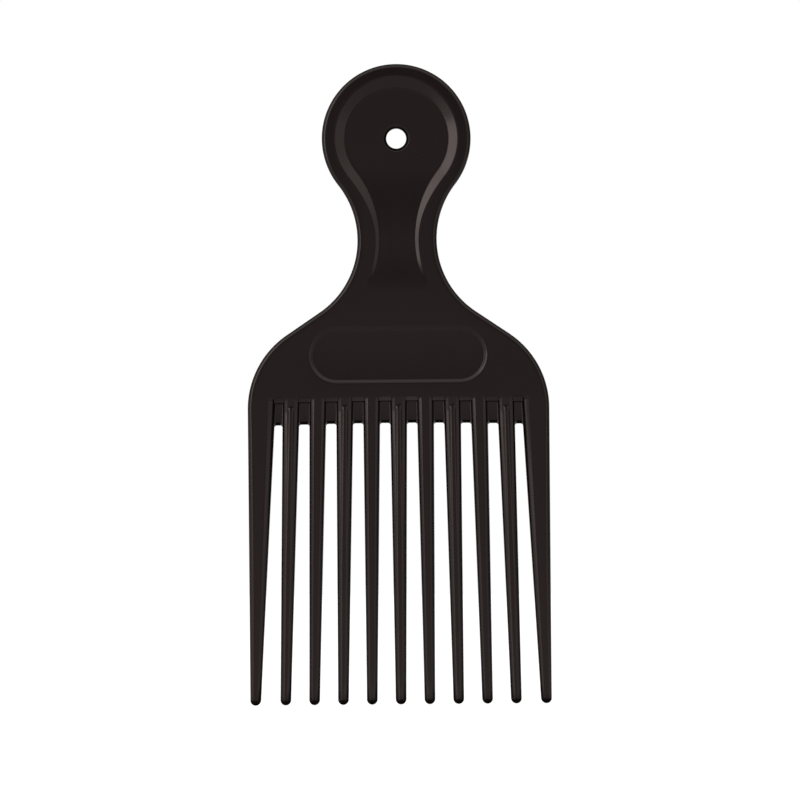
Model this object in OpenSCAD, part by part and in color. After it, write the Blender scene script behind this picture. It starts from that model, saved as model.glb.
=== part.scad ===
// Afro pick: a one-piece plastic comb with a round handle, a narrow neck, a broad back
// and a row of long tapered tines. It is drawn lying flat and then stood upright.
// Drawing frame: +x to the right, +y up the handle, +z out of the front face.
// The origin is the centre of the hang hole at mid-thickness.

/* [Handle] */
// Diameter of the round head
head_d = 39.6; // [36:0.2:44]
// Diameter of the hang hole
hang_hole_d = 5.3; // [4:0.1:7]
// Width of the chamfer round the hang hole
hole_chamfer = 0.6; // [0.3:0.1:0.9]
// Distance from the hang hole down to the narrowest part of the neck
neck_drop = 26.9; // [25:0.1:32]
// Width of the neck where it is narrowest
neck_w = 21.1; // [19:0.1:23]
// Radius of the hollow curve between the neck and the back
neck_foot_r = 23.1; // [19:0.1:25]

/* [Back] */
// Width over the outer tines
back_w = 80.2; // [76:0.2:88]
// Thickness of the moulding
body_t = 4.6; // [4:0.1:6]
// Rounding of the outer edges
edge_r = 1.1; // [0.6:0.1:1.4]
// Radius of the shoulders
shoulder_r = 23.8; // [20:0.1:26]
// Lean of the straight flank between neck and shoulder, in degrees from upright
flank_angle = 56; // [50:1:60]
// Height of the root line above the place where the sides turn upright
root_rise = 3.2; // [1:0.1:5]

/* [Thumb rest] */
// Depth of the hollow in each face of the handle
thumb_depth = 0.95; // [0.5:0.05:1.2]
// Distance from the outline in to the floor of the hollow
thumb_inset = 6.0; // [5:0.1:6.6]
// Width of the flat rim round the head
thumb_rim = 3.4; // [2.6:0.1:4]
// Width of the flat rim beside the neck
thumb_neck_rim = 5.2; // [4.2:0.1:5.5]
// Height over which the hollow runs out below the neck
thumb_fade = 13.6; // [10:0.1:15]

/* [Panel] */
// Length of the bare sunk panel
panel_w = 47.2; // [40:0.2:52]
// Height of the sunk panel
panel_h = 14.6; // [12:0.2:15]
// Depth of the sunk panel
panel_depth = 0.45; // [0.2:0.05:0.8]
// Width of the panel's sloping wall
panel_wall = 0.8; // [0.4:0.1:1.2]
// Distance from the panel's lower edge to the root line
panel_lift = 3.7; // [2.5:0.1:6]

/* [Tines] */
// Number of tines
tine_count = 11; // [8:1:12]
// Length of the tines below the root line
tine_l = 81.9; // [70:0.1:95]
// Width of an inner tine at the root line
tine_root_w = 4.6; // [4:0.1:4.8]
// Width of an outer tine at the root line
outer_tine_root_w = 7.5; // [7:0.1:8.4]
// Width of every tine just above its rounded tip
tine_tip_w = 2.8; // [2.4:0.02:3.2]
// Gap between an outer tine and the next one at the root line
outer_root_gap = 1.8; // [1.5:0.1:2.4]
// Gap between an outer tine and the next one at the tips
outer_tip_gap = 5.2; // [4.6:0.1:5.6]
// Thickness of every tine just above its rounded tip
tine_tip_t = 2.7; // [2.2:0.1:3.2]
// Step from the face of the back down to the face of the tines
root_step = 0.15; // [0.05:0.05:0.3]
// Height of the mitred corner where the bevels of a tine begin
bevel_run = 1; // [0.6:0.1:1.2]
// Distance from the pocket's top down to the place where a beaded tine leaves the flat
bead_drop = 1.7; // [1.5:0.1:3]
// Height of the sloping shoulder between that flat and the bead
bead_run = 2; // [1.4:0.1:3]
// Length of the rounded tip
tip_l = 1.4; // [1:0.1:2]

/* [Webs] */
// Height of the webs between the tine roots
web_h = 6.9; // [5:0.1:9]
// Thickness of the webs
web_t = 1.8; // [1.2:0.1:2.4]
// Height of the bevel at the top of each pocket
pocket_bevel = 0.7; // [0.5:0.1:0.9]
// Height of the steep wall below that bevel
pocket_wall = 0.3; // [0.2:0.1:0.5]
// Height of the chamfered lower edge of the webs
web_edge = 0.9; // [0.4:0.1:1.2]
// Rise of the pockets from the outer tines to the middle
arch_rise = 0.7; // [0:0.1:1.5]

/* [Hidden] */
head_r = head_d / 2;
neck_hw = neck_w / 2;
back_hw = back_w / 2;
body_ht = body_t / 2;
tine_root_ht = body_ht - root_step;
floor_z = body_ht - thumb_depth;

// How far cuts run past a face
cut = 0.3;

// Angle steps: for swept outlines, for the edge rounding and for the tips
arc_steps = 12;
edge_steps = 4;
tip_steps = 4;
$fn = 96;

// Angle at which the head's outline starts, just short of its top, and angle at which the domes
// of the tips end, just short of their poles
crown_angle = 88;
dome_angle = 80;

// Distance from the middle out to the centre of the hollow curve below the neck
foot_x = neck_hw + neck_foot_r;

// The straight flank and the shoulder arc that follows it
bend_w = (neck_foot_r + shoulder_r) * (1 - cos(flank_angle));
flank_l = (back_hw - neck_hw - bend_w) / sin(flank_angle);
flank_top = [neck_hw + neck_foot_r * (1 - cos(flank_angle)), -neck_drop - neck_foot_r * sin(flank_angle)];
shoulder_x = back_hw - shoulder_r;
shoulder_y = flank_top.y - flank_l * cos(flank_angle) - shoulder_r * sin(flank_angle);

// Heights of the root line and of the seam between handle and back
root_y = shoulder_y + root_rise;
seam_y = -neck_drop - thumb_fade;

// Shares that shape a quarter of a tine's section, from its middle to its side: each pair is how
// far out the point lies and how far it lies above the narrow upright band at the side
square_shares = [[0.12, 1], [0.27, 1], [0.37, 1], [0.44, 1], [0.77, 1], [1, 1]];
flat_shares = [[0.12, 1], [0.27, 1], [0.37, 1], [0.44, 1], [0.77, 0.6], [0.9, 0.26]];
bead_shares = [[0.12, 0.76], [0.27, 0.7], [0.36, 0.53], [0.44, 0.54], [0.77, 0.4], [0.9, 0.17]];
blunt_shares = [[0.12, 1], [0.25, 1], [0.36, 0.99], [0.5, 0.94], [0.76, 0.68], [0.92, 0.34]];
round_shares = [[0.15, 1], [0.32, 0.96], [0.48, 0.87], [0.62, 0.75], [0.8, 0.53], [0.93, 0.28]];
// Shares of the tine's length where its section has turned round, and where rings lie between
round_run_share = 0.5;
ring_shares = [0.13, 0.28, 0.5, 0.76];
tip_band_share = 0.2;
tip_edge_share = 0.66;
// Share of its height at which the pocket's bevel ends, and of its thickness at a web's lower edge
pocket_bevel_share = 0.6;
web_edge_share = 0.15;

function numbered(name, i) = str(name, i < 10 ? "_0" : "_", i);
function lerp(a, b, s) = a + (b - a) * s;
function clamp(s) = max(0, min(1, s));
function polar(centre, r, a) = centre + r * [cos(a), sin(a)];
function mirrored(points) = [for (k = [len(points) - 1:-1:0]) [-points[k].x, points[k].y]];

// Radius of the arc that leaves a head of radius r and is upright at half-width w beside the neck
function hollow_r(r, w) = (w * w + neck_drop * neck_drop - r * r) / (2 * (r - w));

// Right-hand edge of the handle, for a head of radius r and a neck of half-width w,
// from the top of the head to the height end_y below the neck
function handle_edge(r, w, end_y) =
    let (u = hollow_r(r, w), a = atan2(-neck_drop, w + u), f = foot_x - w,
         last = asin((-neck_drop - end_y) / f))
    concat(
        [for (k = [0:2 * arc_steps]) polar([0, 0], r, lerp(crown_angle, a, k / (2 * arc_steps)))],
        [for (k = [1:arc_steps]) polar([w + u, -neck_drop], u, lerp(180 + a, 180, k / arc_steps))],
        [for (k = [1:arc_steps]) polar([foot_x, -neck_drop], f, lerp(180, 180 + last, k / arc_steps))]);

// Right-hand edge of the back, set in by the distance i, from the seam down to the root line
function back_edge(i) =
    let (f = neck_foot_r + i, first = asin((-neck_drop - seam_y) / f),
         last = asin(root_rise / (shoulder_r - i)))
    concat(
        [for (k = [0:arc_steps]) polar([foot_x, -neck_drop], f,
            180 + lerp(first, flank_angle, k / arc_steps))],
        [for (k = [0:arc_steps]) polar([shoulder_x, shoulder_y], shoulder_r - i,
            lerp(flank_angle, last, k / arc_steps))]);

// Half-width of the outline at a height on or below the shoulder arc
function side_x(y) = shoulder_x + sqrt(pow(shoulder_r, 2) - pow(max(0, y - shoulder_y), 2));

// Drop of the pockets below their place at the middle, as an arch across the back
function arch_drop(x) = arch_rise * pow(x / back_hw, 2);

// Closed surface through rings of equally many points, from the top down, each ring convex and
// turning clockwise as seen from above. Strips across the end rings close it, or, where the rings
// are flat and may have points in line, triangles from the middle of each.
module loft(rings, flat_rings = false) {
    n = len(rings[0]);
    last = n * (len(rings) - 1);
    middle = last + n;
    middles = flat_rings
        ? [for (ring = [rings[0], rings[len(rings) - 1]]) [for (p = ring) 1] * ring / n]
        : [];
    top_cap = flat_rings ? [for (j = [0:n - 1]) [(j + 1) % n, j, middle]]
        : [for (j = [0:n / 2 - 2]) let (far = n - 2 - j)
            each [[far + 1, far, j + 1], [far + 1, j + 1, j]]];
    low_cap = flat_rings ? [for (j = [0:n - 1]) [last + j, last + (j + 1) % n, middle + 1]]
        : [for (j = [last:last + n / 2 - 2]) let (far = 2 * last + n - 2 - j)
            each [[j, j + 1, far], [j, far, far + 1]]];
    polyhedron(
        points = concat([for (ring = rings) each ring], middles),
        faces = concat(
            top_cap,
            [for (k = [0:n:last - n], j = [0:n - 1]) let (next = (j + 1) % n)
                each [[k + j, k + next, k + n + next], [k + j, k + n + next, k + n + j]]],
            low_cap));
}

// Blank with rounded edges: edges holds the right-hand outline once for each step of the rounding
module rounded_blank(edges) {
    heights = [for (j = [0:edge_steps]) body_ht - edge_r * (1 - sin(edge_angle(j)))];
    loft([for (k = [0:len(edges[0]) - 1])
        let (front = [for (j = [0:edge_steps]) [edges[j][k].x, edges[j][k].y, heights[j]]],
             right = concat(front, [for (j = [edge_steps:-1:0]) [front[j].x, front[j].y, -front[j].z]]))
        concat(right, [for (j = [len(right) - 1:-1:0]) [-right[j].x, right[j].y, right[j].z]])]);
}
function edge_angle(j) = 90 * (1 - j / edge_steps);
function edge_inset(j) = edge_r * (1 - cos(edge_angle(j)));

// Cutter for the hollow in the front of the handle: flat in the head, running out below the neck
module thumb_hollow() {
    reach = (thumb_depth + cut) / thumb_depth;
    floor_edge = handle_edge(head_r - thumb_inset, neck_hw - thumb_inset, seam_y);
    top_edge = handle_edge(head_r - thumb_inset + (thumb_inset - thumb_rim) * reach,
        neck_hw - thumb_inset + (thumb_inset - thumb_neck_rim) * reach, seam_y);
    loft([for (k = [0:len(floor_edge) - 1])
        let (f = floor_edge[k], t = top_edge[k],
             fade = clamp((-neck_drop - f.y) / thumb_fade),
             z = lerp(floor_z, body_ht + cut / 2, fade * fade))
        [[t.x, t.y, body_ht + cut], [f.x, f.y, z], [-f.x, f.y, z], [-t.x, t.y, body_ht + cut]]]);
}

// Countersunk bore through the head
module hang_hole() {
    cylinder(d = hang_hole_d, h = 2 * body_t, center = true);
    for (side = [0, 1]) mirror([0, 0, side])
        translate([0, 0, floor_z - hole_chamfer / 2])
            cylinder(r1 = hang_hole_d / 2, r2 = hang_hole_d / 2 + 2 * hole_chamfer, h = hole_chamfer);
}

// Cutter for the bare panel in the front of the back
module panel_hollow() {
    over = cut * panel_wall / panel_depth;
    hull() for (side = [-1, 1])
        translate([side * (panel_w - panel_h) / 2, root_y + panel_lift + panel_h / 2,
                   body_ht - panel_depth])
            cylinder(r1 = panel_h / 2 - panel_wall, r2 = panel_h / 2 + over,
                     h = panel_depth + cut);
}

// Left edge of the first inner tine, and distance from one inner tine to the next
function first_left(outer_w, gap) = outer_w + gap - back_hw;
function pitch(w, outer_w, gap) = (-2 * first_left(outer_w, gap) - w) / (tine_count - 3);

// Left edge of inner tine i, for inner tines of width w beside outer ones of width outer_w
function inner_left(i, w, outer_w, gap) = first_left(outer_w, gap) + (i - 2) * pitch(w, outer_w, gap);

// Left and right edge of tine i at a height: both run straight from the root line to the tip
function left_x(i, y) =
    let (s = (root_y - y) / tine_l)
    i == 1 ? -side_x(y)
    : i == tine_count ? back_hw - lerp(outer_tine_root_w, tine_tip_w, s)
    : lerp(inner_left(i, tine_root_w, outer_tine_root_w, outer_root_gap),
           inner_left(i, tine_tip_w, tine_tip_w, outer_tip_gap), s);
function right_x(i, y) = -left_x(tine_count + 1 - i, y);

// One quarter of a tine's section from the face to the side, for half-width c and half-thickness h
function bevelled_quarter(shares, c, h, band) =
    concat([for (p = shares) [p[0] * c, lerp(band, h, p[1])]], [[c, band]]);
function rounded_quarter(r, c, h) =
    [for (k = [0:edge_steps]) polar([c - r, h - r], r, 90 * (1 - k / edge_steps))];

// How a face of the tine has changed at run s: square at the pocket's top, then flat with bevelled
// edges, on a beaded face sloping to the bead, and at last rounded
function section_shares(beaded, s, bevel, bead, slope) =
    s <= bead ? lerp(square_shares, flat_shares, clamp(1 + (s - bevel) * tine_l / bevel_run))
    : lerp(beaded ? lerp(flat_shares, bead_shares, clamp((s - bead) / slope)) : flat_shares,
           beaded ? round_shares : blunt_shares, clamp((s - bead - slope) / round_run_share));

// Ring of points round tine i at run s, shrunk to a share of its size about its middle
function tine_ring(i, s, size) =
    let (y = root_y - s * tine_l,
         left = left_x(i, y), right = right_x(i, y),
         mid = (left + right) / 2, c = size * (right - left) / 2,
         h = size * lerp(tine_root_ht, tine_tip_t / 2, s),
         band = lerp(web_t / 2, tip_band_share * h, s) * size,
         r = min(lerp(edge_r, tip_edge_share * c, s), c, h),
         bevel = bevel_share(i), bead = bead_share(i), slope = bead_run / tine_l,
         face = section_shares(i % 2 == 0, s, bevel, bead, slope),
         rear = section_shares(i % 2 == 1, s, bevel, bead, slope),
         outer_front = rounded_quarter(r, c, h),
         right_front = i == tine_count ? outer_front : bevelled_quarter(face, c, h, band),
         right_rear = i == tine_count ? outer_front : bevelled_quarter(rear, c, h, band),
         left_front = i == 1 ? outer_front : bevelled_quarter(face, c, h, band),
         left_rear = i == 1 ? outer_front : bevelled_quarter(rear, c, h, band))
    concat(
        [for (p = right_front) [mid + p.x, y, p.y]],
        [for (k = [len(right_rear) - 1:-1:0]) [mid + right_rear[k].x, y, -right_rear[k].y]],
        [for (p = left_rear) [mid - p.x, y, -p.y]],
        [for (k = [len(left_front) - 1:-1:0]) [mid - left_front[k].x, y, left_front[k].y]]);

// Runs at which tine i reaches the top of its pockets, the end of the mitred corner and the end
// of the flat at the top of a beaded face
function top_share(i) = arch_drop((left_x(i, root_y) + right_x(i, root_y)) / 2) / tine_l;
function bevel_share(i) = top_share(i) + bevel_run / tine_l;
function bead_share(i) = top_share(i) + bead_drop / tine_l;

// Tine i: square where it leaves the back, bevelled or beaded below the pocket, round at the tip
module tine(i) {
    beaded = bead_share(i) + bead_run / tine_l;
    upright = root_rise / tine_l;
    dome = 1 - tip_l / tine_l;
    loft(concat(
        [tine_ring(i, 0, 1)],
        top_share(i) > 0 ? [tine_ring(i, top_share(i), 1)] : [],
        [for (s = [bevel_share(i), bead_share(i), beaded]) tine_ring(i, s, 1)],
        upright > beaded ? [tine_ring(i, upright, 1)] : [],
        [for (s = ring_shares) tine_ring(i, s, 1)],
        [for (k = [0:tip_steps]) let (a = dome_angle * k / tip_steps)
            tine_ring(i, lerp(dome, 1, sin(a) / sin(dome_angle)), cos(a))]), flat_rings = true);
}

// Thin web between tines i and i + 1, with the sloping top wall of its pocket
module web(i) {
    mid = (right_x(i, root_y) + left_x(i + 1, root_y)) / 2;
    pocket_y = root_y - arch_drop(mid);
    gap_y = pocket_y - web_h;
    thick = tine_root_ht;
    thin = web_t / 2;
    right_half = [[thick, root_y], [thick, pocket_y],
                  [lerp(thin, thick, pocket_bevel_share), pocket_y - pocket_bevel],
                  [thin, pocket_y - pocket_bevel - pocket_wall],
                  [thin, gap_y + web_edge], [thin * web_edge_share, gap_y]];
    intersection() {
        linear_extrude(body_t, center = true) polygon([
            [right_x(i, root_y), root_y], [left_x(i + 1, root_y), root_y],
            [left_x(i + 1, gap_y), gap_y], [right_x(i, gap_y), gap_y]]);
        translate([mid - tine_root_w, 0, 0]) rotate([90, 0, 90])
            linear_extrude(2 * tine_root_w)
                polygon([for (p = concat(right_half, mirrored(right_half))) [p.y, p.x]]);
    }
}

// Turns the flat drawing upright, with its front to -Y and the handle up
module upright() rotate([90, 0, 0]) children();

module handle()
    color("#2c2725") upright() difference() {
        difference() {
            rounded_blank([for (j = [0:edge_steps])
                handle_edge(head_r - edge_inset(j), neck_hw - edge_inset(j), seam_y)]);
            for (side = [0, 1]) mirror([0, 0, side]) thumb_hollow();
        }
        hang_hole();
    }

module comb_back()
    color("#2a2523") upright() difference() {
        rounded_blank([for (j = [0:edge_steps]) back_edge(edge_inset(j))]);
        panel_hollow();
    }

handle();
comb_back();
for (i = [1:tine_count])
    color("#292422") upright() tine(i);
for (i = [1:tine_count - 1])
    color("#231f1d") upright() web(i);
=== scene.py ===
"""Looks of a one-piece plastic afro pick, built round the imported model.

The moulding stands on its tines on a pale floor and shows its front to -Y.
"""
from __future__ import annotations

import logging
import math
from dataclasses import dataclass
from enum import Enum
from typing import Any, Callable, Iterable, Iterator, Union

import bmesh
import bpy
from mathutils import Euler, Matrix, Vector


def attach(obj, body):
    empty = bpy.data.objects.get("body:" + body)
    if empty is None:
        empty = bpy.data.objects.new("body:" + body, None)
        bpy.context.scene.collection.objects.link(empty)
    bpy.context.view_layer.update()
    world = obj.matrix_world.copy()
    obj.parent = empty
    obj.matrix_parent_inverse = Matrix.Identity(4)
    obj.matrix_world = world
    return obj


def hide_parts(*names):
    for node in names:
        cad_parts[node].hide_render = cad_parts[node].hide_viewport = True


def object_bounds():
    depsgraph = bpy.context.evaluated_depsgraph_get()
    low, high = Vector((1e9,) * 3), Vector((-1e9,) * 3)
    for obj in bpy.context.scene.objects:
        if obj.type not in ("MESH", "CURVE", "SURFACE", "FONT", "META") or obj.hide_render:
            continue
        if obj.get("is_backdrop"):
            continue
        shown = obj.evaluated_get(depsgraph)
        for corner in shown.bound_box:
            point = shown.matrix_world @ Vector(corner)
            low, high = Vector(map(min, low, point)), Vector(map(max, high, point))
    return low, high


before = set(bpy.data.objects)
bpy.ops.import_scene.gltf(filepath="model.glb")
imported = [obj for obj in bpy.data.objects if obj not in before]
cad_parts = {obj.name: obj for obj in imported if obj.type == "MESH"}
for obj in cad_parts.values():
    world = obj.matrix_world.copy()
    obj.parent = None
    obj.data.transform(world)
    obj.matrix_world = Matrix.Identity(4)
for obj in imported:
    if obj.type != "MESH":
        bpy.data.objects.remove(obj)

MM = 0.001
Value = Union["Signal", float, tuple]
Colour = tuple[float, float, float]
Flat = tuple[float, float]
Point = tuple[float, float, float]
Quarter = tuple[Flat, ...]
FRONT = (0.0, -1.0, 0.0)
NOISE_MIDDLE = 0.5
log = logging.getLogger("afro_pick")


class Maths(Enum):
    """Sums that a Math node can do."""

    ADD = "ADD"
    SUBTRACT = "SUBTRACT"
    MULTIPLY = "MULTIPLY"
    DIVIDE = "DIVIDE"
    MAXIMUM = "MAXIMUM"
    MINIMUM = "MINIMUM"
    ABSOLUTE = "ABSOLUTE"


@dataclass(frozen=True)
class Signal:
    """A shader socket that works in Python sums: each sum adds its Math node."""

    graph: "ShaderGraph"
    socket: bpy.types.NodeSocket

    def maths(self, operation: Maths, *values: Value) -> "Signal":
        """Returns the result of one Math node.

        Args:
            operation: The sum that the node does.
            values: Its values in order, each a signal or a number.

        Returns:
            The node's result.
        """
        return self.graph.add("ShaderNodeMath", {"operation": operation.value}, dict(enumerate(values)))

    def __add__(self, other: Value) -> "Signal":
        """Adds."""
        return self.maths(Maths.ADD, self, other)

    def __radd__(self, other: Value) -> "Signal":
        """Adds, with this value second."""
        return self.maths(Maths.ADD, other, self)

    def __sub__(self, other: Value) -> "Signal":
        """Subtracts."""
        return self.maths(Maths.SUBTRACT, self, other)

    def __rsub__(self, other: Value) -> "Signal":
        """Subtracts this value from the other."""
        return self.maths(Maths.SUBTRACT, other, self)

    def __mul__(self, other: Value) -> "Signal":
        """Multiplies."""
        return self.maths(Maths.MULTIPLY, self, other)

    def __rmul__(self, other: Value) -> "Signal":
        """Multiplies, with this value second."""
        return self.maths(Maths.MULTIPLY, other, self)

    def __truediv__(self, other: Value) -> "Signal":
        """Divides."""
        return self.maths(Maths.DIVIDE, self, other)

    def __rtruediv__(self, other: Value) -> "Signal":
        """Divides the other by this value."""
        return self.maths(Maths.DIVIDE, other, self)

    def at_least(self, other: Value) -> "Signal":
        """Returns the larger of the two."""
        return self.maths(Maths.MAXIMUM, self, other)

    def at_most(self, other: Value) -> "Signal":
        """Returns the smaller of the two."""
        return self.maths(Maths.MINIMUM, self, other)

    def size(self) -> "Signal":
        """Returns the value without its sign."""
        return self.maths(Maths.ABSOLUTE, self)


class ShaderGraph:
    """The nodes of one material or of the world."""

    def __init__(self, owner: bpy.types.ID) -> None:
        """Empties the owner's node tree.

        Args:
            owner: The material or world that the nodes belong to.
        """
        owner.use_nodes = True
        self.tree = owner.node_tree
        self.tree.nodes.clear()

    def add(self, kind: str, settings: dict[str, Any] | None = None,
            inputs: dict[Union[str, int], Value] | None = None,
            output: Union[str, int] = 0) -> Signal:
        """Adds one node.

        Args:
            kind: The node's type.
            settings: Properties that are set first.
            inputs: Values or links of its sockets, by name or place.
            output: Which output to return.

        Returns:
            The chosen output.
        """
        node = self.tree.nodes.new(kind)
        for key, value in (settings or {}).items():
            setattr(node, key, value)
        for key, value in (inputs or {}).items():
            if isinstance(value, Signal):
                self.tree.links.new(value.socket, node.inputs[key])
            else:
                node.inputs[key].default_value = value
        return Signal(self, node.outputs[output])

    def mix_colour(self, share: Value, first: Value, second: Value) -> Signal:
        """Blends two colours.

        Args:
            share: Share of the second colour.
            first: Colour at share 0.
            second: Colour at share 1.

        Returns:
            The blend.
        """
        colours = [c if isinstance(c, Signal) else (*c, 1.0) for c in (first, second)]
        return self.add("ShaderNodeMix", {"data_type": "RGBA"},
                        {0: share, 6: colours[0], 7: colours[1]}, output=2)

    def noise(self, place: Value, per_metre: float, detail: float) -> Signal:
        """Returns smooth noise from 0 to 1.

        Args:
            place: Coordinates in metres.
            per_metre: How many blobs lie along a metre.
            detail: How many finer layers are added.

        Returns:
            The noise value.
        """
        return self.add("ShaderNodeTexNoise", {}, {"Vector": place, "Scale": per_metre, "Detail": detail})

    def axes(self, vector: Value) -> list[Signal]:
        """Returns the three axes of a vector."""
        return [self.add("ShaderNodeSeparateXYZ", {}, {"Vector": vector}, output=name) for name in "XYZ"]

    def ray(self, kind: str) -> Signal:
        """Returns 1 for rays of one kind, or else 0."""
        return self.add("ShaderNodeLightPath", output=kind)

    def show(self, surface: Signal, kind: str = "ShaderNodeOutputMaterial") -> None:
        """Links a shader to the output.

        Args:
            surface: The shader to show.
            kind: Type of the output node.
        """
        output = self.tree.nodes.new(kind)
        self.tree.links.new(surface.socket, output.inputs["Surface"])


@dataclass(frozen=True)
class SatinPlastic:
    """Near-black satin plastic, as it leaves a lightly blasted mould."""

    name: str = "satin_plastic"
    shade: Colour = (0.0046, 0.0026, 0.0023)
    warm_shade: Colour = (0.0062, 0.0036, 0.0031)
    glint: Colour = (1.0, 0.83, 0.79)
    roughness: float = 0.20
    roughness_spread: float = 0.07
    refraction: float = 1.49
    cloud_per_metre: float = 45.0
    cloud_detail: float = 3.0
    cloud_share: float = 0.7
    flow_per_metre: float = 160.0
    flow_detail: float = 4.0
    flow_share: float = 0.3
    flow_stretch: Point = (1.0, 1.0, 0.18)
    grain_per_metre: float = 5200.0
    grain_detail: float = 1.0
    grain_height: float = 0.004 * MM
    bump_strength: float = 0.5

    def material(self) -> bpy.types.Material:
        """Returns the plastic as a material."""
        made = bpy.data.materials.new(self.name)
        graph = ShaderGraph(made)
        place = graph.add("ShaderNodeTexCoord", output="Object")
        along_flow = graph.add("ShaderNodeVectorMath", {"operation": "MULTIPLY"},
                               {0: place, 1: self.flow_stretch})
        cloud = graph.noise(place, self.cloud_per_metre, self.cloud_detail)
        flow = graph.noise(along_flow, self.flow_per_metre, self.flow_detail)
        grain = graph.noise(place, self.grain_per_metre, self.grain_detail)
        warmth = cloud * self.cloud_share + flow * self.flow_share
        colour = graph.mix_colour(warmth, self.shade, self.warm_shade)
        spread = self.roughness_spread
        roughness = self.roughness + (flow - NOISE_MIDDLE) * spread + (grain - NOISE_MIDDLE) * spread
        bump = graph.add("ShaderNodeBump", {}, {
            "Strength": self.bump_strength, "Distance": self.grain_height, "Height": grain})
        graph.show(graph.add("ShaderNodeBsdfPrincipled", {}, {
            "Base Color": colour, "Roughness": roughness, "IOR": self.refraction,
            "Specular Tint": (*self.glint, 1.0), "Normal": bump}))
        return made


def blend(first: float, second: float, share: float) -> float:
    """Returns the value that lies a share of the way from the first to the second."""
    return first + (second - first) * share


def mix(first: Flat, second: Flat, share: float) -> Flat:
    """Returns the point a share of the way from the first to the second."""
    return blend(first[0], second[0], share), blend(first[1], second[1], share)


def mix_all(first: Iterable[Flat], second: Iterable[Flat], share: float) -> list[Flat]:
    """Returns the points a share of the way from the first ones to the second ones."""
    return [mix(one, two, share) for one, two in zip(first, second)]


def clamp(value: float) -> float:
    """Returns the value held between 0 and 1."""
    return max(0.0, min(1.0, value))


def ease(share: float) -> float:
    """Returns a share that starts and stops softly."""
    held = clamp(share)
    return held * held * (3.0 - 2.0 * held)


def bent(distance: float, radius: float) -> float:
    """Returns a line that turns from level to rising at 1 in 1, within the radius on either side of 0."""
    if distance <= -radius:
        return 0.0
    return distance if distance >= radius else (distance + radius) ** 2 / (4.0 * radius)


def soft_ramp(share: float, top: float, low: float) -> float:
    """Returns a slope from 0 to 1 with rounded ends.

    Args:
        share: Place along the slope, from 0 to 1 between its sharp corners.
        top: Reach of the rounding at the first corner.
        low: Reach of the rounding at the second corner.

    Returns:
        The height, from 0 to 1.
    """
    return bent(share, top) - bent(share - 1.0, low)


def polar(centre: Flat, radius: float, degrees: float) -> Flat:
    """Returns the point at an angle and distance from a centre."""
    return (centre[0] + radius * math.cos(math.radians(degrees)),
            centre[1] + radius * math.sin(math.radians(degrees)))


def put(name: str, data: bpy.types.ID) -> bpy.types.Object:
    """Returns a new object of the scene that holds the data."""
    made = bpy.data.objects.new(name, data)
    bpy.context.scene.collection.objects.link(made)
    return made


def turned(points: list[Point]) -> list[Point]:
    """Returns the points mirrored to the other side, in reverse order."""
    return [(-x, height, depth) for x, height, depth in reversed(points)]


def rear(points: list[Point]) -> list[Point]:
    """Returns the points of the rear face, in reverse order."""
    return [(x, height, -depth) for x, height, depth in reversed(points)]


def with_neighbours(corners: list[Flat]) -> Iterator[tuple[Flat, Flat, Flat]]:
    """Returns each corner of a closed outline between its neighbours."""
    return zip(corners[-1:] + corners[:-1], corners, corners[1:] + corners[:1])


def curve(start: Flat, corner: Flat, stop: Flat, steps: int) -> list[Flat]:
    """Returns the points of a short curve that rounds a corner from its start to its stop."""
    points = []
    for step in range(steps + 1):
        share = step / steps
        points.append(mix(mix(start, corner, share), mix(corner, stop, share), share))
    return points


def rounded_corners(corners: list[Flat], reach: float, steps: int) -> list[Flat]:
    """Rounds every corner of a closed outline with a short curve.

    Args:
        corners: The outline's corners in order.
        reach: Share of half of each side that the curves take.
        steps: Steps of each curve.

    Returns:
        The rounded outline, with equally many points for each corner.
    """
    points = []
    for before, corner, after in with_neighbours(corners):
        points += curve(mix(corner, before, reach / 2), corner, mix(corner, after, reach / 2), steps)
    return points


def eased_corner(before: Flat, corner: Flat, after: Flat, reach: float, steps: int) -> list[Flat]:
    """Rounds one corner with a short curve.

    Args:
        before: The point before the corner.
        corner: The corner.
        after: The point after it.
        reach: Length of each side that the curve takes, at most nearly half of it.
        steps: Steps of the curve.

    Returns:
        The curve's points.
    """
    most, least_side = 0.48, 1e-6
    start, stop = (mix(corner, other, min(most, reach / max(math.dist(corner, other), least_side)))
                   for other in (before, after))
    return curve(start, corner, stop, steps)


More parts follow.
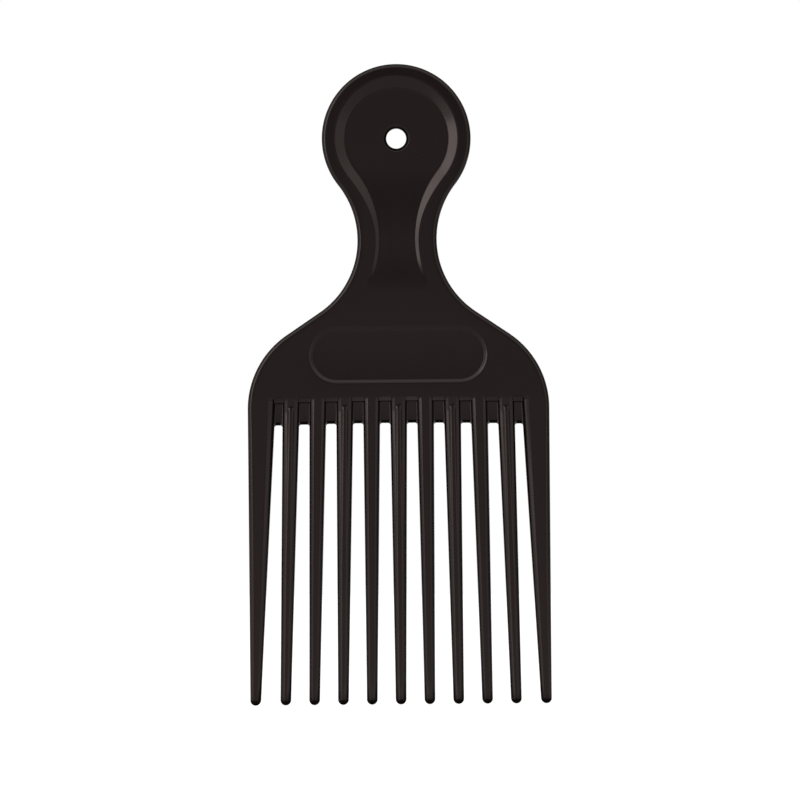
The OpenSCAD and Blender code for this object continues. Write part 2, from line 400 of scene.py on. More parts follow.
class Skin:
    """Closed surface of one piece, gathered from patches whose edges meet."""

    weld = 0.0012 * MM
    sliver = weld / 4

    def __init__(self, node: str) -> None:
        """Starts an empty surface.

        Args:
            node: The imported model's node that the piece stands for.
        """
        self.node = node
        self.surface = bmesh.new()

    def _vertex(self, point: Point) -> bmesh.types.BMVert:
        """Adds one vertex, from a point given across, up and out of the front, in millimetres."""
        return self.surface.verts.new((point[0] * MM, -point[2] * MM, point[1] * MM))

    def grid(self, rows: list[list[Point]], closed: bool = False) -> None:
        """Adds a patch of four-sided faces.

        Args:
            rows: Rows of equally many points.
            closed: Whether each row's last point joins its first.
        """
        made = [[self._vertex(point) for point in row] for row in rows]
        last = len(rows[0]) - (0 if closed else 1)
        for one, two in zip(made, made[1:]):
            for n in range(last):
                following = (n + 1) % len(one)
                self.surface.faces.new((one[n], one[following], two[following], two[n]))

    def lid(self, loop: list[Point]) -> None:
        """Closes a loop with one flat face."""
        self.surface.faces.new([self._vertex(point) for point in loop])

    def crown(self, loop: list[Point], tip: Point) -> None:
        """Closes a loop with triangles that meet at one point."""
        made = [self._vertex(point) for point in loop]
        top = self._vertex(tip)
        for one, two in zip(made, made[1:] + made[:1]):
            self.surface.faces.new((one, two, top))

    def flat(self, loops: list[list[Point]]) -> None:
        """Fills the flat area inside the first loop and outside the others."""
        edges = []
        for loop in loops:
            made = [self._vertex(point) for point in loop]
            edges += [self.surface.edges.new(pair) for pair in zip(made, made[1:] + made[:1])]
        bmesh.ops.triangle_fill(self.surface, edges=edges, use_beauty=True, normal=FRONT)

    def make(self, material: bpy.types.Material, sharp: float = 35.0) -> None:
        """Joins the patches and puts the piece in its node's place.

        Args:
            material: The piece's finish.
            sharp: Angle in degrees from which an edge stays crisp.
        """
        bmesh.ops.remove_doubles(self.surface, verts=self.surface.verts, dist=self.weld)
        bmesh.ops.dissolve_degenerate(self.surface, edges=self.surface.edges, dist=self.sliver)
        bmesh.ops.recalc_face_normals(self.surface, faces=self.surface.faces)
        loose = sum(1 for edge in self.surface.edges if len(edge.link_faces) != 2)
        mesh = bpy.data.meshes.new(f"moulded_{self.node}")
        self.surface.to_mesh(mesh)
        self.surface.free()
        mesh.shade_smooth()
        mesh.set_sharp_from_angle(angle=math.radians(sharp))
        mesh.materials.append(material)
        piece = put(f"moulded_{self.node}", mesh)
        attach(piece, "root")
        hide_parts(self.node)
        log.info("made %s: %d faces, %d open edges", self.node, len(mesh.polygons), loose)


@dataclass
class Moulding:
    """Sizes that the regions of the moulding share, in millimetres, with the hang hole at the origin."""

    plastic: bpy.types.Material
    half_thickness: float = 2.3
    edge_radius: float = 1.1
    edge_steps: int = 8
    edge_flat_share: float = 0.6
    hair: float = 0.015
    neck_height: float = -26.9
    neck_half: float = 10.55
    foot_radius: float = 23.1
    seam_height: float = -40.5
    flank_angle: float = 56.0
    back_half: float = 40.1
    shoulder_radius: float = 23.8
    root_rise: float = 3.2

    @property
    def foot_centre(self) -> Flat:
        """Centre of the hollow curve below the neck."""
        return (self.neck_half + self.foot_radius, self.neck_height)

    @property
    def shoulder_centre(self) -> Flat:
        """Centre of the right shoulder's arc."""
        angle = math.radians(self.flank_angle)
        bend = (self.foot_radius + self.shoulder_radius) * (1 - math.cos(angle))
        flank = (self.back_half - self.neck_half - bend) / math.sin(angle)
        drop = (self.foot_radius + self.shoulder_radius) * math.sin(angle) + flank * math.cos(angle)
        return (self.back_half - self.shoulder_radius, self.neck_height - drop)

    @property
    def root_height(self) -> float:
        """Height of the root line."""
        return self.shoulder_centre[1] + self.root_rise

    def seam_angle(self, inset: float) -> float:
        """Returns the angle that the hollow curve below the neck has turned at the seam."""
        return math.degrees(math.asin((self.neck_height - self.seam_height) / (self.foot_radius + inset)))

    def edge_profile(self) -> list[Flat]:
        """Returns inset and depth, from the middle of the side to the end of the edge's rounding."""
        radius = self.edge_radius
        points = [(0.0, 0.0), (0.0, (self.half_thickness - radius) * self.edge_flat_share)]
        for step in range(self.edge_steps + 1):
            angle = math.radians(90 * step / self.edge_steps)
            points.append((radius * (1 - math.cos(angle)),
                           self.half_thickness - radius * (1 - math.sin(angle))))
        return points

    def half_section(self, place: Callable[[float], Flat], profile: list[Flat]) -> list[Point]:
        """Runs a profile round the right-hand side, from the inside of the front to that of the rear.

        Args:
            place: Gives the point at a distance in from the outline.
            profile: Inset and depth, from the middle of the side inwards.

        Returns:
            The points in order.
        """
        front = [(*place(inset + self.hair), depth) for inset, depth in reversed(profile)]
        return front + rear(front[:-1])

    def whole_section(self, right: list[Point], floor: Callable[[float], float], steps: int) -> list[Point]:
        """Closes a right-hand half section across both faces to its left-hand twin.

        Args:
            right: The half section, from the front to the rear.
            floor: Gives how far the face lies below that section's inner end, by share of the way out.
            steps: Faces across.

        Returns:
            The closed ring.
        """
        x, height, depth = right[0]
        shares = [1 - 2 * n / steps for n in range(1, steps)]
        across = [(x * share, height, depth - floor(share)) for share in shares]
        return right + rear(across[::-1]) + turned(right) + across[::-1]


@dataclass
class Handle(Moulding):
    """Round head with its hang hole and thumb hollow, and the neck below it."""

    head_radius: float = 19.8
    hole_radius: float = 2.65
    countersink: float = 0.8
    countersink_depth: float = 0.85
    countersink_round: float = 0.16
    countersink_steps: int = 5
    hole_steps: int = 96
    hollow_depth: float = 0.95
    hollow_rim: float = 3.4
    hollow_foot: float = 6.0
    neck_hollow_depth: float = 0.36
    neck_hollow_rim: float = 4.85
    neck_hollow_foot: float = 5.75
    hollow_inner: float = 7.3
    hollow_round: float = 0.12
    wall_shares: tuple[float, ...] = (0.3, 0.5, 0.7)
    rim_steps: int = 4
    rim_slope: float = 0.058
    fade_power: float = 2.5
    neck_dish: float = 0.05
    head_steps: int = 72
    arc_steps: int = 28
    floor_steps: int = 16

    @property
    def hollow_radius(self) -> float:
        """Radius of the hollow curve between head and neck, which leaves the head smoothly."""
        span = self.neck_half ** 2 + self.neck_height ** 2 - self.head_radius ** 2
        return span / (2 * (self.head_radius - self.neck_half))

    @property
    def joint_angle(self) -> float:
        """Angle round the head at which the hollow curve leaves it."""
        return math.degrees(math.atan2(self.neck_height, self.neck_half + self.hollow_radius))

    def head_place(self, share: float) -> Callable[[float], Flat]:
        """Returns the points across the head's edge, from its top, at 0, to the neck's start, at 1."""
        angle = blend(90.0, self.joint_angle, share)
        return lambda inset: polar((0.0, 0.0), self.head_radius - inset, angle)

    def neck_place(self, share: float) -> Callable[[float], Flat]:
        """Returns the points across the neck's edge, from the head to the narrowest place."""
        centre = (self.neck_half + self.hollow_radius, self.neck_height)
        angle = 180 + self.joint_angle * (1 - share)
        return lambda inset: polar(centre, self.hollow_radius + inset, angle)

    def foot_place(self, share: float) -> Callable[[float], Flat]:
        """Returns the points across the neck's edge, from the narrowest place to the seam."""
        return lambda inset: polar(self.foot_centre, self.foot_radius + inset,
                                   180 + self.seam_angle(inset) * share)

    def profile(self, rim: float, foot: float, hollow: float, slope: float) -> list[Flat]:
        """Returns the section from the outline over the rim and down to the hollow's floor.

        Args:
            rim: Width of the rim.
            foot: Distance from the outline in to the floor.
            hollow: Depth of the hollow.
            slope: Fall of the rim towards the outline, for each millimetre.

        Returns:
            Inset and depth, from the middle of the side inwards.
        """
        wall, soft = foot - rim, self.hollow_round
        lower = 1 - slope * (rim - self.edge_radius) / self.half_thickness
        points = [(inset, depth * lower) for inset, depth in self.edge_profile()]
        shares = [-soft, -soft / 2, 0.0, soft / 2, soft, *self.wall_shares,
                  1 - soft, 1 - soft / 2, 1.0, 1 + soft / 2, 1 + soft]
        start = rim + wall * shares[0]
        insets = [blend(self.edge_radius, start, n / self.rim_steps) for n in range(1, self.rim_steps)]
        insets += [rim + wall * share for share in shares]
        for inset in insets + [self.hollow_inner]:
            fall = slope * bent(rim - inset, wall * soft)
            ramp = soft_ramp((inset - rim) / wall, soft, soft)
            points.append((inset, self.half_thickness - fall - hollow * ramp))
        return points

    def build(self) -> None:
        """Makes the handle."""
        skin = Skin("handle")
        edge = self.profile(self.hollow_rim, self.hollow_foot, self.hollow_depth, self.rim_slope)
        head = [self.half_section(self.head_place(n / self.head_steps), edge)
                for n in range(self.head_steps, -1, -1)]
        skin.grid(head)
        skin.grid([turned(row) for row in head])
        rings = [self._neck_ring(n / self.arc_steps) for n in range(self.arc_steps + 1)]
        rings += [self._foot_ring(n / self.arc_steps) for n in range(1, self.arc_steps + 1)]
        skin.grid(rings, closed=True)
        skin.lid(rings[-1])
        over = [row[0] for row in head] + turned([row[0] for row in head])[1:]
        chord = rings[0][1 - self.floor_steps:]
        self._floor(skin, over + chord)
        skin.make(self.plastic)

    def _neck_ring(self, share: float) -> list[Point]:
        """Returns the closed section between the head, at 0, and the narrowest place, at 1."""
        soft = ease(share)
        right = self.half_section(self.neck_place(share), self.profile(
            blend(self.hollow_rim, self.neck_hollow_rim, soft),
            blend(self.hollow_foot, self.neck_hollow_foot, soft),
            blend(self.hollow_depth, self.neck_hollow_depth, soft), self.rim_slope * (1 - soft)))
        return self._closed(right, self.neck_dish * soft)

    def _foot_ring(self, share: float) -> list[Point]:
        """Returns the closed section between the narrowest place, at 0, and the seam, at 1."""
        place = self.foot_place(share)
        down = self.neck_height - place(self.neck_hollow_foot)[1]
        fade = down / (self.neck_height - self.seam_height)
        hollow = self.neck_hollow_depth * (1 - fade ** self.fade_power) ** 2
        right = self.half_section(place, self.profile(self.neck_hollow_rim, self.neck_hollow_foot, hollow, 0.0))
        return self._closed(right, self.neck_dish * (1 - ease(fade)))

    def _closed(self, right: list[Point], dish: float) -> list[Point]:
        """Returns a half section's whole ring, with a floor that dips in the middle by the dish."""
        return self.whole_section(right, lambda side: dish * (1 - side * side) ** 2, self.floor_steps)

    def _floor(self, skin: Skin, edge: list[Point]) -> None:
        """Adds the head's flat floors and the countersunk hole that joins them.

        Args:
            skin: The handle's surface.
            edge: Loop round the front floor.
        """
        level = self.half_thickness - self.hollow_depth
        mouth, soft = self.hole_radius + self.countersink, self.countersink_round
        low = level - self.countersink_depth
        corners = [(mouth + 2 * soft, level), (mouth, level), (self.hole_radius, low), (self.hole_radius, 0.0)]
        profile = corners[:1]
        for before, corner, after in zip(corners, corners[1:], corners[2:]):
            profile += eased_corner(before, corner, after, soft, self.countersink_steps)
        profile.append(corners[-1])
        profile += [(radius, -depth) for radius, depth in reversed(profile[:-1])]
        turns = [360 * n / self.hole_steps for n in range(self.hole_steps)]
        hole = [[(*polar((0.0, 0.0), radius, turn), depth) for turn in turns] for radius, depth in profile]
        skin.grid(hole, closed=True)
        skin.flat([edge, hole[0]])
        skin.flat([rear(edge), hole[-1]])


@dataclass
class CombBack(Moulding):
    """Broad back below the neck, with its bare sunk panel."""

    panel_width: float = 47.2
    panel_height: float = 14.6
    panel_depth: float = 0.45
    panel_wall: float = 0.8
    panel_lift: float = 3.7
    panel_brow: float = 0.55
    panel_fillet: float = 0.14
    brow_steps: int = 7
    wall_shares: tuple[float, ...] = (0.7, 0.8)
    panel_steps: int = 40
    band: float = 1.7
    arc_steps: int = 30
    flat_steps: int = 12

    def build(self) -> None:
        """Makes the back."""
        skin = Skin("comb_back")
        profile = self.edge_profile() + [(self.band, self.half_thickness)]
        rows = [self.half_section(self._place(step), profile) for step in range(2 * self.arc_steps + 2)]
        skin.grid(rows)
        skin.grid([turned(row) for row in rows])
        top, low = (self.whole_section(row, lambda side: 0.0, self.flat_steps) for row in (rows[0], rows[-1]))
        skin.lid(top)
        skin.lid(low)
        across = self.flat_steps - 1
        side = [row[0] for row in rows]
        face = side + low[:-across - 1:-1] + turned(side) + top[-across:]
        walls = self._panel_loops()
        skin.grid(walls, closed=True)
        skin.flat([face, walls[0]])
        skin.flat([walls[-1]])
        skin.flat([rear(face)])
        skin.make(self.plastic)

    def _place(self, step: int) -> Callable[[float], Flat]:
        """Returns the points across the back's edge at a step from the seam to the root line."""
        share = clamp(step / self.arc_steps)
        if step <= self.arc_steps:
            return lambda inset: polar(self.foot_centre, self.foot_radius + inset,
                                       180 + blend(self.seam_angle(inset), self.flank_angle, share))
        past = (step - self.arc_steps - 1) / self.arc_steps

        def shoulder(inset: float) -> Flat:
            """Returns the shoulder's point at a distance in from the outline."""
            radius = self.shoulder_radius - inset
            last = math.degrees(math.asin(self.root_rise / radius))
            return polar(self.shoulder_centre, radius, blend(self.flank_angle, last, past))

        return shoulder

    def _panel_loops(self) -> list[list[Point]]:
        """Returns loops round the panel, from the face down to its floor."""
        middle = self.root_height + self.panel_lift + self.panel_height / 2
        reach = (self.panel_width - self.panel_height) / 2
        brow, fillet = self.panel_brow, self.panel_fillet
        shares = [-brow + 2 * brow * n / self.brow_steps for n in range(self.brow_steps + 1)]
        shares += [*self.wall_shares, *(1 + fillet * n / 2 for n in range(-2, 3))]
        turns = [-90 + 180 * n / self.panel_steps for n in range(self.panel_steps + 1)]
        loops = []
        for share in shares:
            radius = self.panel_height / 2 - self.panel_wall * share
            depth = self.half_thickness - self.panel_depth * soft_ramp(share, brow, fillet)
            arc = [(*polar((reach, middle), radius, turn), depth) for turn in turns]
            loops.append(arc + turned(arc))
        return loops


@dataclass
class Teeth(Moulding):
    """Places of the tines and of the gaps between them."""

    count: int = 11
    length: float = 81.9
    root_width: float = 4.6
    outer_root_width: float = 7.5
    tip_width: float = 2.8
    outer_root_gap: float = 1.8
    outer_tip_gap: float = 5.2
    tip_thickness: float = 2.7
    web_thickness: float = 1.8
    arch_rise: float = 0.7
    crisp_angle: float = 25.0
    least_step: float = 0.01

    def side(self, height: float) -> float:
        """Returns the half-width of the outline at a height on or below the shoulders."""
        x, top = self.shoulder_centre
        return x + math.sqrt(self.shoulder_radius ** 2 - max(0.0, height - top) ** 2) - self.hair

    def inner_left(self, number: int, width: float, outer_width: float, gap: float) -> float:
        """Returns the left edge of an inner tine, all such tines being spaced evenly.

        Args:
            number: The tine's number, from 1 at the left.
            width: Width of the inner tines there.
            outer_width: Width of the outer tines there.
            gap: Gap beside the outer tines there.

        Returns:
            The edge's distance to the right of the middle.
        """
        first = outer_width + gap - self.back_half
        return first + (number - 2) * (-2 * first - width) / (self.count - 3)

    def left(self, number: int, height: float) -> float:
        """Returns the left edge of a tine at a height."""
        run = (self.root_height - height) / self.length
        if number == 1:
            return -self.side(height)
        if number == self.count:
            return self.back_half - blend(self.outer_root_width, self.tip_width, run)
        return blend(self.inner_left(number, self.root_width, self.outer_root_width, self.outer_root_gap),
                     self.inner_left(number, self.tip_width, self.tip_width, self.outer_tip_gap), run)

    def right(self, number: int, height: float) -> float:
        """Returns the right edge of a tine at a height."""
        return -self.left(self.count + 1 - number, height)

    def arch(self, x: float) -> float:
        """Returns how far the tops of the pockets lie below the root line at a distance from the middle."""
        return self.arch_rise * (x / self.back_half) ** 2


@dataclass
class TineRow(Teeth):
    """The long tapered tines: square at the root, then bevelled or beaded by turns, and round at the tip."""

    square: Quarter = ((0.12, 1), (0.27, 1), (0.37, 1), (0.44, 1), (0.77, 1), (1, 1))
    flat: Quarter = ((0.12, 1), (0.27, 1), (0.37, 1), (0.44, 1), (0.77, 0.8), (0.91, 0.36))
    nose: Quarter = ((0.12, 0.86), (0.27, 0.86), (0.37, 0.86), (0.44, 0.86), (0.77, 0.68), (0.91, 0.3))
    bead: Quarter = ((0.12, 0.98), (0.27, 0.87), (0.36, 0.72), (0.44, 0.73), (0.77, 0.55), (0.9, 0.22))
    blunt: Quarter = ((0.12, 1), (0.25, 1), (0.36, 0.99), (0.5, 0.94), (0.76, 0.68), (0.92, 0.34))
    round: Quarter = ((0.15, 1), (0.32, 0.96), (0.48, 0.87), (0.62, 0.75), (0.8, 0.53), (0.93, 0.28))
    bevel_run: float = 0.35
    bevel_steps: int = 4
    bevel_marks: tuple[int, ...] = (1, 2, 3, 4, 6, 9, 12, 15)
    bead_drop: float = 1.9
    bead_run: float = 1.7
    bead_margin: float = 0.3
    bead_steps: int = 20
    bead_top_round: float = 0.15
    bead_low_round: float = 0.3
    crest_run: float = 1.4
    crest_points: int = 2
    tip_length: float = 1.4
    tip_edge_share: float = 0.66
    tip_band_share: float = 0.2
    round_run: float = 41.0
    low_steps: int = 26
    low_power: float = 1.4
    outer_edge_steps: int = 9
    root_softness: float = 0.03
    softness: float = 0.4
    soften_run: float = 0.5
    low_softness: float = 0.5
    low_soften_run: float = 40.0
    corner_steps: int = 3
    dome_steps: int = 12

    def build(self) -> None:
        """Makes every tine."""
        for number in range(1, self.count + 1):
            skin = Skin(f"tine_{number:02d}")
            runs, dome = self._runs(number), self.length - self.tip_length
            rings = [self._ring(number, run, 1.0) for run in runs]
            for step in range(1, self.dome_steps):
                angle = math.radians(90 * step / self.dome_steps)
                rings.append(self._ring(number, dome + self.tip_length * math.sin(angle), math.cos(angle)))
            skin.grid(rings, closed=True)
            skin.lid(rings[0])
            tip = self.root_height - self.length + self.hair
            middle = (self.left(number, tip) + self.right(number, tip)) / 2
            skin.crown(rings[-1], (middle, tip, 0.0))
            skin.make(self.plastic, sharp=self.crisp_angle)

    def _pocket_top(self, number: int) -> float:
        """Returns how far below the root line the pockets beside a tine begin."""
        return self.arch((self.left(number, self.root_height) + self.right(number, self.root_height)) / 2)

    def _runs(self, number: int) -> list[float]:
        """Returns the distances below the root line at which a tine's sections lie."""
        top = self._pocket_top(number)
        runs = [0.0] + ([top] if top > self.least_step else [])
        runs += [top + self.bevel_run * mark / self.bevel_steps for mark in self.bevel_marks]
        margin, steps = self.bead_margin, self.bead_steps
        runs += [top + self.bead_drop - margin + (self.bead_run + 2 * margin) * n / steps
                 for n in range(steps + 1)]
        start, dome, steps = runs[-1], self.length - self.tip_length, self.low_steps
        return runs + [blend(start, dome, (n / steps) ** self.low_power) for n in range(1, steps + 1)]

    def _shares(self, beaded: bool, run: float, top: float) -> list[Flat]:
        """Returns the shares that shape a quarter of the section.

        Args:
            beaded: Whether this face carries a bead.
            run: Distance below the root line.
            top: Distance of the pocket's top below it.

        Returns:
            How far out each point lies, and how far above the upright band at the side.
        """
        points = mix_all(self.square, self.flat, clamp((run - top) / self.bevel_run))
        if beaded:
            points = mix_all(points, self.nose, ease((run - top) / self.bead_drop))
            past = run - top - self.bead_drop
            share = clamp(soft_ramp(past / self.bead_run, self.bead_top_round, self.bead_low_round))
            shares = [ease(past / self.crest_run)] * self.crest_points + [share] * len(self.bead)
            points = [mix(one, two, part) for one, two, part in zip(points, self.bead, shares)]
        share = clamp((run - top - self.bead_drop - self.bead_run) / self.round_run)
        return mix_all(points, self.round if beaded else self.blunt, share)

    def _quarter(self, plain: bool, shares: list[Flat], half: float, depth: float, run: float) -> list[Flat]:
        """Returns one quarter of a section, from the face to the side.

        Args:
            plain: Whether it is the outer edge of an outer tine, which is simply rounded.
            shares: The shares of the other quarters.
            half: Half of the tine's width.
            depth: Half of its thickness.
            run: Distance below the root line.

        Returns:
            Distance out and depth of each point.
        """
        along = run / self.length
        if plain:
            radius = min(blend(self.edge_radius, self.tip_edge_share * half, along), half, depth)
            return [polar((half - radius, depth - radius), radius, 90 * (1 - n / self.outer_edge_steps))
                    for n in range(self.outer_edge_steps + 1)]
        band = blend(self.web_thickness / 2, self.tip_band_share * depth, along)
        return [(out * half, blend(band, depth, up)) for out, up in shares] + [(half, band)]

    def _ring(self, number: int, run: float, size: float) -> list[Point]:
        """Returns the closed section of a tine.

        Args:
            number: The tine's number.
            run: Distance below the root line.
            size: Share of its full size, for the rounded tip.

        Returns:
            The section's points.
        """
        height = self.root_height - run
        left, right = self.left(number, height), self.right(number, height)
        middle, half = (left + right) / 2, (right - left) / 2
        depth = blend(self.half_thickness, self.tip_thickness / 2, run / self.length)
        top = self._pocket_top(number)
        front, back = (self._shares(beaded, run, top) for beaded in (number % 2 == 0, number % 2 == 1))
        quarters = []
        for outer, shares in ((self.count, front), (self.count, back), (1, back), (1, front)):
            quarters.append(self._quarter(number == outer, shares, half, depth, run))
        corners = (quarters[0] + [(out, -up) for out, up in reversed(quarters[1])]
                   + [(-out, -up) for out, up in quarters[2]]
                   + [(-out, up) for out, up in reversed(quarters[3])])
        soft = blend(self.root_softness, self.softness, clamp((run - top) / self.soften_run))
        soft += self.low_softness * clamp((run - top) / self.low_soften_run)
        return [(middle + size * x, height, size * level)
                for x, level in rounded_corners(corners, soft, self.corner_steps)]


@dataclass
class WebRow(Teeth):
    """Thin webs between the roots of the tines, each under a pocket's bevelled top.

    A web's lower edge is chamfered from both sides, most of it from the front.
    """

    height: float = 7.05
    bevel: float = 1.1
    bevel_share: float = 0.5
    wall: float = 0.25
    edge: float = 0.9
    edge_back: float = 0.4
    corner: float = 0.1
    top_corner: float = 0.03
    corner_steps: int = 3
    fillet: float = 0.24
    fillet_slope: float = 0.9
    fillet_start: float = -0.3
    gap_radius: float = 0.6
    gap_run: float = 0.3
    web_slack: float = 0.02
    tuck: float = 0.03
    tuck_margin: float = 0.5
    offsets: tuple[float, ...] = (-0.4, -0.22, -0.14, -0.06, 0.03, 0.12, 0.24, 0.34, 0.46, 0.6)

    def build(self) -> None:
        """Makes every web."""
        for number in range(1, self.count):
            skin = Skin(f"web_{number:02d}")
            profile = self._profile(number)
            rings = [self._ring(number, profile, offset, False) for offset in self.offsets]
            rings += [self._ring(number, profile, offset, True) for offset in reversed(self.offsets)]
            skin.grid(rings, closed=True)
            skin.lid(rings[0])
            skin.lid(rings[-1])
            skin.make(self.plastic, sharp=self.crisp_angle)

    def _profile(self, number: int) -> list[Flat]:
        """Returns the closed section of a web, as depth and height."""
        root = self.root_height
        middle = (self.right(number, root) + self.left(number + 1, root)) / 2
        top = root - self.arch(middle)
        thick, thin = self.half_thickness, self.web_thickness / 2
        gap = top - self.height
        front = [(thick, root), (thick, top), (blend(thin, thick, self.bevel_share), top - self.bevel),
                 (thin, top - self.bevel - self.wall)]
        edge = [(thin, gap + self.edge), (-self.edge_back, gap), (-thin, gap + self.edge_back)]
        corners = front + edge + [(-depth, height) for depth, height in reversed(front)]
        points = []
        for before, corner, after in with_neighbours(corners):
            reach = self.top_corner if corner[1] > top - self.least_step else self.corner
            points += eased_corner(before, corner, after, reach, self.corner_steps)
        return points

    def _ring(self, number: int, profile: list[Flat], offset: float, right: bool) -> list[Point]:
        """Returns a web's section at a distance from a tine.

        Args:
            number: The web's number.
            profile: Its plain section.
            offset: Distance from the tine's side, less than 0 inside the tine.
            right: Whether it is the tine at the right.

        Returns:
            The section's points.
        """
        thin = self.web_thickness / 2
        rise = self.fillet_slope * bent(-offset, self.fillet) if offset > self.fillet_start else 0.0
        off = max(0.0, self.gap_radius - max(0.0, offset))
        drop = self.gap_radius - math.sqrt(self.gap_radius ** 2 - off ** 2)
        low = min(height for depth, height in profile) + self.edge
        points = []
        for depth, height in profile:
            size, way = abs(depth), math.copysign(1.0, depth)
            size = max(size, thin + rise) if size >= thin - self.web_slack else size * (1 + rise / thin)
            size -= self.tuck if offset < 0 and size > thin + self.tuck_margin else 0.0
            place = height - drop * clamp((low + self.gap_run - height) / self.gap_run)
            x = (self.left(number + 1, place) - offset) if right else (self.right(number, place) + offset)
            points.append((x, place, way * size))
        return points


@dataclass(frozen=True)
class StudioFloor:
    """White glossy board that the pick stands on, with painted light and shade in its reflections."""

    name: str = "white_board"
    shade: Colour = (0.35, 0.35, 0.35)
    roughness: float = 0.22
    refraction: float = 1.3
    glow: float = 0.90
    # Painted light: strength of the glow that reflections see on the board.
    painted_reflection_glow: float = 0.85
    # Painted pool of light on the board, seen in reflections: its middle, its radius and the least share of it
    # elsewhere.
    painted_pool_middle: Point = (0.0, -0.03, 0.0)
    painted_pool_radius: float = 0.06
    painted_pool_least: float = 0.5
    # Painted shadow: a patch below and behind the pick where the reflected glow is cut off, with its edges and
    # sharpness.
    shadow_half: float = 0.045
    shadow_front: float = -0.006
    shadow_back: float = 0.06
    shadow_sharpness: float = 120.0
    # Painted shade: the darker colour that the board takes in reflections.
    painted_mirror_shade: Colour = (0.08, 0.08, 0.08)

    def material(self) -> bpy.types.Material:
        """Returns the board: white to the camera; in reflections a darker painted colour, a painted pool of
        light in front, and a painted shadow below and behind the pick.
        """
        made = bpy.data.materials.new(self.name)
        graph = ShaderGraph(made)
        seen, mirrored, through = (graph.ray(kind) for kind in (
            "Is Camera Ray", "Is Glossy Ray", "Is Transmission Ray"))
        # Painted shade: reflections see the board in a darker colour.
        board = graph.add("ShaderNodeBsdfPrincipled", {}, {
            "Base Color": graph.mix_colour(mirrored, self.shade, self.painted_mirror_shade),
            "Roughness": self.roughness, "IOR": self.refraction})
        place = graph.add("ShaderNodeTexCoord", output="Object")
        away = graph.add("ShaderNodeVectorMath", {"operation": "DISTANCE"},
                         {0: place, 1: self.painted_pool_middle}, output="Value")
        # Painted shadow: the reflected glow is cut off in a patch below and behind the pick.
        across, behind, _ = graph.axes(place)
        beside, before = across.size() - self.shadow_half, self.shadow_front - behind
        outside = beside.at_least(before).at_least(behind - self.shadow_back)
        lit = (outside * self.shadow_sharpness).at_least(0.0).at_most(1.0)
        # Painted pool of light, brightest in front of the pick, seen only by reflected and transmitted rays.
        painted_light_pool = (1.0 - away / self.painted_pool_radius).at_least(self.painted_pool_least) * lit
        light = graph.add("ShaderNodeEmission", {}, {
            "Strength": seen * self.glow + (mirrored + through).at_most(1.0) * painted_light_pool * self.painted_reflection_glow})
        graph.show(graph.add("ShaderNodeAddShader", {}, {0: board, 1: light}))
        return made


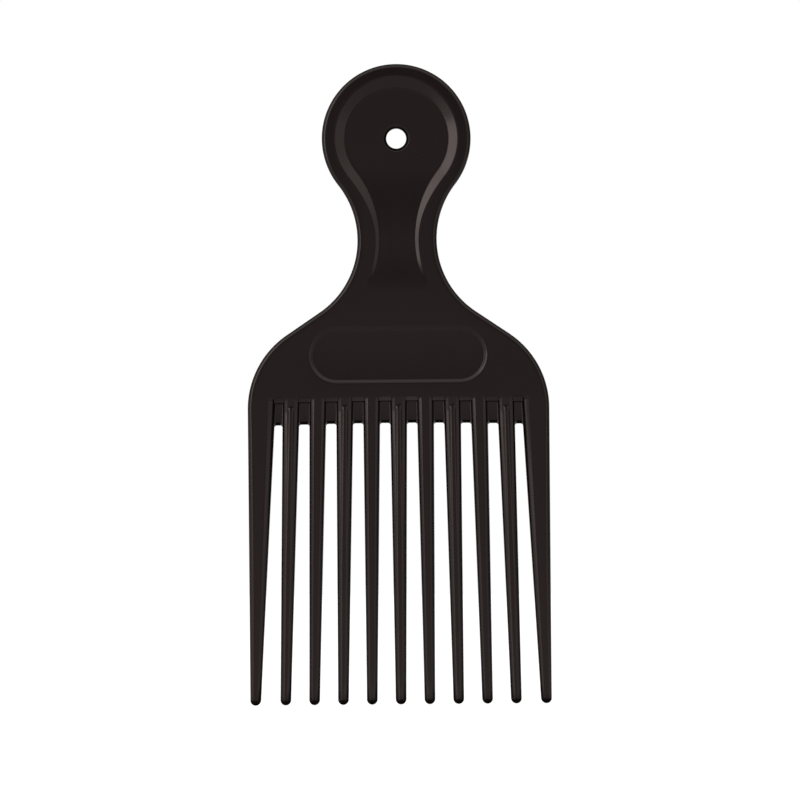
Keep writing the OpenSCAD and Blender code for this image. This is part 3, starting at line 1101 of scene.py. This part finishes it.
@dataclass
class Studio:
    """White light tent with a key lamp, a floor and a long-lens camera."""

    picture_px: float = 800.0
    mm_per_px: float = 0.266
    hole_px: Flat = (396.2, 138.7)
    lean: float = math.radians(0.504)
    camera_distance: float = 1.25
    camera_range: float = 10.0
    sensor: float = 36.0
    floor_half: float = 0.7
    front_start: float = 0.25
    rear_start: float = 0.3
    rear_share: float = 0.6
    left_start: float = 0.1
    left_level: float = 1.5
    right_start: float = 0.12
    right_haze: float = 0.35
    beam_start: float = 0.45
    right_level: float = 3.9
    top_start: float = 0.2
    top_level: float = 1.9
    side_narrowness: float = 4.0
    side_level: float = 0.35
    opening_half: float = 0.05
    opening_sharpness: float = 8.0
    opening_fall: float = 2.0
    opening_top: float = 0.12
    opening_top_fall: float = 6.0
    opening_most: float = 1.5
    opening_level: float = 0.46
    key_place: Point = (-0.46, -0.62, 0.13)
    key_aim: Point = (0.0, 0.0, -0.05)
    key_size: Flat = (0.22, 0.5)
    key_watts: float = 0.72

    def build(self) -> None:
        """Sets up the view, the light and the floor."""
        self._view()
        self._world()
        self._lamps()
        self._floor()

    def _view(self) -> None:
        """Places the camera so that the object falls where the picture shows it."""
        scene = bpy.context.scene
        scene.view_settings.view_transform = "Standard"
        picture = self.picture_px * self.mm_per_px * MM
        middle = self.picture_px / 2
        right = (middle - self.hole_px[0]) * self.mm_per_px * MM
        down = (middle - self.hole_px[1]) * self.mm_per_px * MM
        across = Vector((math.cos(self.lean), 0.0, -math.sin(self.lean)))
        up = Vector((math.sin(self.lean), 0.0, math.cos(self.lean)))
        data = bpy.data.cameras.new("camera")
        data.sensor_width = self.sensor
        data.lens = self.sensor * self.camera_distance / picture
        data.clip_end = self.camera_range
        camera = put("camera", data)
        camera.location = across * right - up * down + Vector((0.0, -self.camera_distance, 0.0))
        camera.rotation_euler = Euler((math.radians(90), self.lean, 0.0), "XYZ")
        scene.camera = camera

    def _world(self) -> None:
        """Makes the tent, which is white to the camera.

        In reflections it is bright at the left, right and top, and dim ahead but for a narrow lit opening.
        """
        world = bpy.data.worlds.new("tent")
        bpy.context.scene.world = world
        graph = ShaderGraph(world)
        direction = graph.add("ShaderNodeTexCoord", output="Generated")
        across, depth, height = graph.axes(direction)
        front = (self.front_start - depth).at_least(0.0)
        ahead = front + (depth - self.rear_start).at_least(0.0) * self.rear_share
        left = (0.0 - across - self.left_start).at_least(0.0) * self.left_level
        right = (across - self.right_start).at_least(0.0)
        beam = right * (depth.size() - self.beam_start).at_least(0.0) * self.right_level
        above = (height - self.top_start).at_least(0.0) * self.top_level
        beside = (1.0 - depth.size() * self.side_narrowness).at_least(0.0) * across.size() * self.side_level
        slit = 1.0 - (across.size() - self.opening_half) * self.opening_sharpness
        high = (height - self.opening_top).at_least(0.0) * self.opening_top_fall
        shine = (1.0 - (height * self.opening_fall + high)).at_least(0.0).at_most(self.opening_most)
        opening = shine * depth.size() * slit.at_least(0.0).at_most(1.0) * self.opening_level
        level = (left + above + right * self.right_haze) * ahead + beam + beside + opening
        seen = graph.ray("Is Camera Ray")
        background = graph.add("ShaderNodeBackground", {}, {
            "Color": (1.0, 1.0, 1.0, 1.0), "Strength": level * (1.0 - seen) + seen})
        graph.show(background, "ShaderNodeOutputWorld")

    def _lamps(self) -> None:
        """Adds the soft key light at the upper left."""
        data = bpy.data.lights.new("key", "AREA")
        data.shape = "RECTANGLE"
        data.size, data.size_y = self.key_size
        data.energy = self.key_watts
        lamp = put("key", data)
        lamp.location = Vector(self.key_place)
        lamp.rotation_euler = (Vector(self.key_aim) - lamp.location).to_track_quat("-Z", "Y").to_euler()

    def _floor(self) -> None:
        """Lays the white board under the tips of the tines."""
        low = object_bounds()[0].z
        half = self.floor_half
        corners = [(-half, -half, 0.0), (half, -half, 0.0), (half, half, 0.0), (-half, half, 0.0)]
        mesh = bpy.data.meshes.new("floor")
        mesh.from_pydata(corners, [], [(0, 1, 2, 3)])
        mesh.materials.append(StudioFloor().material())
        floor = put("floor", mesh)
        floor.location.z = low
        floor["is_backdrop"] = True


def main() -> None:
    """Builds the picture and reports each piece."""
    logging.basicConfig(level=logging.INFO, format="%(name)s: %(message)s")
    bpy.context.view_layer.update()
    plastic = SatinPlastic().material()
    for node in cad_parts.values():
        node.data.materials.clear()
        node.data.materials.append(plastic)
    for piece in (Handle(plastic), CombBack(plastic), TineRow(plastic), WebRow(plastic)):
        piece.build()
        log.info("built %s", type(piece).__name__)
    Studio().build()


if __name__ == "__main__":
    main()
